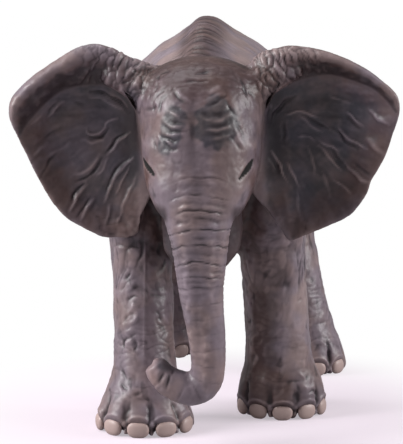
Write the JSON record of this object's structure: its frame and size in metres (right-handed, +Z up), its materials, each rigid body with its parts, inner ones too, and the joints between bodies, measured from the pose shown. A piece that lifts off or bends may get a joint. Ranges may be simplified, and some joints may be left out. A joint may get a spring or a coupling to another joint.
{
  "type": "toy elephant figure",
  "caption": "Painted toy African elephant calf in a walking pose, ears spread wide and trunk curled to its right, standing on flat soles.",
  "frame": {"origin": "under the middle of the figure, on the surface that the soles rest on", "axes": "+Z up, -Y the way the animal faces, +X its left side"},
  "size_m": [0.0706, 0.0929, 0.074],
  "materials": {
    "torso_skin": "satin grey-brown paint with a dark wash",
    "head_skin": "satin grey-brown paint with a dark wash",
    "trunk_skin": "satin grey-brown paint with a dark wash",
    "ear_skin": "satin charcoal paint with browner rims",
    "leg_skin": "satin grey-brown paint, tan toenails",
    "tail_skin": "satin grey-brown paint"
  },
  "bodies": {
    "root": {"torso_left_shell": "torso_skin", "torso_right_shell": "torso_skin", "head": "head_skin", "trunk": "trunk_skin", "ear_left": "ear_skin", "ear_right": "ear_skin", "foreleg_left": "leg_skin", "foreleg_right": "leg_skin", "hindleg_left": "leg_skin", "hindleg_right": "leg_skin", "tail": "tail_skin"}
  },
  "joints": []
}
